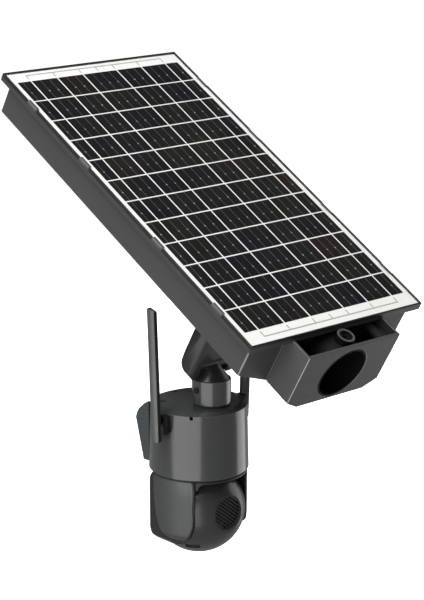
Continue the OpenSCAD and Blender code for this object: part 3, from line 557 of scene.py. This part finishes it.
# ---------------------------------------------------------------- CAD nodes: rounding and finish
# Edge radius of each node in mm. Nodes that aren't named get 0.25.
ROUND = {
    "housing_tub": 1.5, "socket_block": 1.3, "lid_frame": 0.5, "drop_bracket": 1.5, "panel_clips": 0.2,
    "backsheet": 0, "solar_cells": 0, "bus_ribbons": 0, "solar_glass": 0.2, "lid_gasket": 0, "knuckle_neck": 0.8,
    "mount_collar": 0.7, "top_cap": 0.5, "barrel_shell": 0.5, "hood_shell": 1.5, "cheek_cover_left": 0.9,
    "cheek_cover_right": 0.9, "head_rear_shell": 0.7, "head_front_shell": 0.8, "antenna_left": 1.0,
    "antenna_right": 1.0, "antenna_mounts": 0.5, "speaker_grille": 0.3, "card_cover": 0.4, "yoke_frame": 0.4,
    "pan_gear": 0, "pan_pinion": 0, "tilt_gear": 0, "tilt_pinion": 0, "battery_cells": 0.4, "cap_screws": 0.15,
}
PAN = Vector((0, 0.2212, 0))
HEAD = Vector((0, 0.2212, -0.2063))


def weigh(o, test, angle=34, skip=None):
    """Mark the sharp edges that pass a test, for a wider rounding."""
    me = o.data
    bm = bmesh.new()
    bm.from_mesh(me)
    near = {}
    for ed in bm.edges:
        key = tuple(sorted(tuple(round(c * 1e5) for c in v.co) for v in ed.verts))
        near.setdefault(key, []).append(ed)
    marked = []
    for eds in near.values():
        ns = [f.normal for ed in eds for f in ed.link_faces if f.calc_area() > 1e-12]
        if len(ns) == 2 and ns[0].angle(ns[1], 0) > math.radians(angle):
            if all(test(v.co) for v in eds[0].verts) and not (skip and all(skip(v.co) for v in eds[0].verts)):
                marked += [ed.index for ed in eds]
    bm.free()
    att = me.attributes.get("bevel_weight_edge") or me.attributes.new("bevel_weight_edge", "FLOAT", "EDGE")
    for k in marked:
        att.data[k].value = 1.0


def on_cheek(v):
    """The outline of a cheek's outer face; its top stays sharp under the barrel."""
    d = v - PAN
    return v.z < -0.1608 and (math.hypot(d.x, d.y) > 0.0537 or (v.z < -0.218 and abs(d.x) > 0.0405))


def in_h(v):
    """A row-frame point in the housing's frame, in mm."""
    c, s = math.cos(TILT), math.sin(TILT)
    return v.x * 1000, (v.y * c + v.z * s) * 1000, (-v.y * s + v.z * c) * 1000


def seg_dist(p, a, b):
    ab = (b[0] - a[0], b[1] - a[1])
    k = max(0, min(1, ((p[0] - a[0]) * ab[0] + (p[1] - a[1]) * ab[1]) / (ab[0] ** 2 + ab[1] ** 2)))
    return math.hypot(p[0] - a[0] - k * ab[0], p[1] - a[1] - k * ab[1])


TUB = [(117, 34), (-117, 34), (-117, -5.8), (-67.6, -25.5), (-49.6, -35.3), (49.6, -35.3), (67.6, -25.5), (117, -5.8)]


def on_tub(v):
    """The outer outline of the tub's two ends."""
    x, y, z = in_h(v)
    if abs(y - 36) > 0.3 and abs(y - 482) > 0.3:
        return False
    return min(seg_dist((x, z), TUB[k], TUB[(k + 1) % 8]) for k in range(8)) < 0.3


def under_lid(v):
    """The tub's upper edges stay sharp under the lid."""
    return in_h(v)[2] > 33.7


def on_bracket(v):
    """The outer edges of the bracket's two side faces."""
    x, y, z = in_h(v)
    return abs(x) > 29.7 and z < -35.6 and math.hypot(y - 158.455, z + 125.548) > 7


# Nodes whose outline is rounded wider than the rest: a test and a radius in mm.
OUTLINE = {"cheek_cover_left": (on_cheek, 0.9), "cheek_cover_right": (on_cheek, 0.9),
           "housing_tub": (on_tub, 1.5), "drop_bracket": (on_bracket, 1.5)}
OWN = {
    "collar_screw": metal("collar_screw_dark", (0.03, 0.03, 0.03), 0.35, metallic=0.6),
    "cap_screws": metal("cap_screw_dark", (0.05, 0.05, 0.05), 0.35, metallic=0.6),
}
for name, o in NODES.items():
    o.data.materials.clear()
    o.data.materials.append(OWN.get(name) or MATS[SLOT[name]])
    for key in ("custom_normal", "sharp_face", "sharp_edge"):
        if key in o.data.attributes:
            o.data.attributes.remove(o.data.attributes[key])
    for poly in o.data.polygons:
        poly.use_smooth = True
        poly.material_index = 0
    w = o.modifiers.new("weld", "WELD")
    w.merge_threshold = 0.00001
    r = ROUND.get(name, 0.25)
    if r:
        d = o.modifiers.new("flat", "DECIMATE")
        d.decimate_type = "DISSOLVE"
        d.angle_limit = math.radians(0.3)
        b = o.modifiers.new("edge", "BEVEL")
        b.width = r * MM
        b.segments = 3 if r >= 0.5 else 2
        b.limit_method = "ANGLE"
        b.angle_limit = math.radians(34)
        b.harden_normals = False
        b.use_clamp_overlap = True
        if name in OUTLINE:
            weigh(o, OUTLINE[name][0], skip=under_lid if name == "housing_tub" else None)
            b.limit_method = "WEIGHT"
            b.width = OUTLINE[name][1] * MM
            b.segments = 5
            b.use_clamp_overlap = False
        if name in EDGE_OF:
            o.data.materials.append(EDGE[EDGE_OF[name]])
            b.material = 1
    n = o.modifiers.new("normals", "WEIGHTED_NORMAL")
    n.mode = "FACE_AREA"
    n.weight = 60
    n.keep_sharp = False


def piece(name, bm, body, slot_name, smooth=True, mat=None):
    me = bpy.data.meshes.new(name)
    bm.to_mesh(me)
    bm.free()
    me.materials.append(mat or MATS[slot_name])
    for poly in me.polygons:
        poly.use_smooth = smooth
    o = bpy.data.objects.new(name, me)
    scene.collection.objects.link(o)
    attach(o, body)
    return o


def add_box(bm, lo, hi, place=hp):
    """A box between two corners given in mm, in the housing's frame."""
    v = [bm.verts.new(place(x, y, z)) for x in (lo[0], hi[0]) for y in (lo[1], hi[1]) for z in (lo[2], hi[2])]
    for f in ((0, 1, 3, 2), (4, 6, 7, 5), (0, 4, 5, 1), (2, 3, 7, 6), (0, 2, 6, 4), (1, 5, 7, 3)):
        bm.faces.new([v[i] for i in f])


# ---------------------------------------------------------------- panel: busbars and solder pads
PANEL_W, PANEL_L, Y0 = 253, 460, 29
MARGIN_X, LOW, UP, GAP, ROWS = 9, 21.8, 18, 2, 12
pitch = (PANEL_W - 2 * MARGIN_X) / 19
row_l = (PANEL_L - LOW - UP + GAP) / ROWS
cell_top = 41.5
bm = bmesh.new()
for j in range(ROWS):
    ya = Y0 + LOW + j * row_l
    for u in (-9, -7, -6, -4, -3, -1, 0, 1, 3, 4, 6, 7, 9):
        add_box(bm, (u * pitch - 0.3, ya + 0.8, cell_top), (u * pitch + 0.3, ya + row_l - GAP - 0.8, cell_top + 0.06))
busbars = piece("busbars", bm, "housing", "ribbon_tin", smooth=False, mat=metal("busbar_tin", (0.115, 0.117, 0.12), 0.42, metallic=0.2))
bm = bmesh.new()
for j in range(ROWS):
    yc = Y0 + LOW + j * row_l + 13.2
    for u in (-9, -7, -6, -4, -3, -1, 0, 1, 3, 4, 6, 7, 9):
        m4 = Matrix.Translation(hp(u * pitch, yc, cell_top + 0.07)) @ Matrix.Rotation(TILT, 4, "X")
        bmesh.ops.create_cone(bm, cap_ends=True, segments=14, radius1=0.95 * MM, radius2=0.8 * MM, depth=0.1 * MM, matrix=m4)
pads = piece("solder_pads", bm, "housing", "ribbon_tin", smooth=False, mat=metal("pad_tin", (0.42, 0.43, 0.42), 0.35, metallic=0.3))
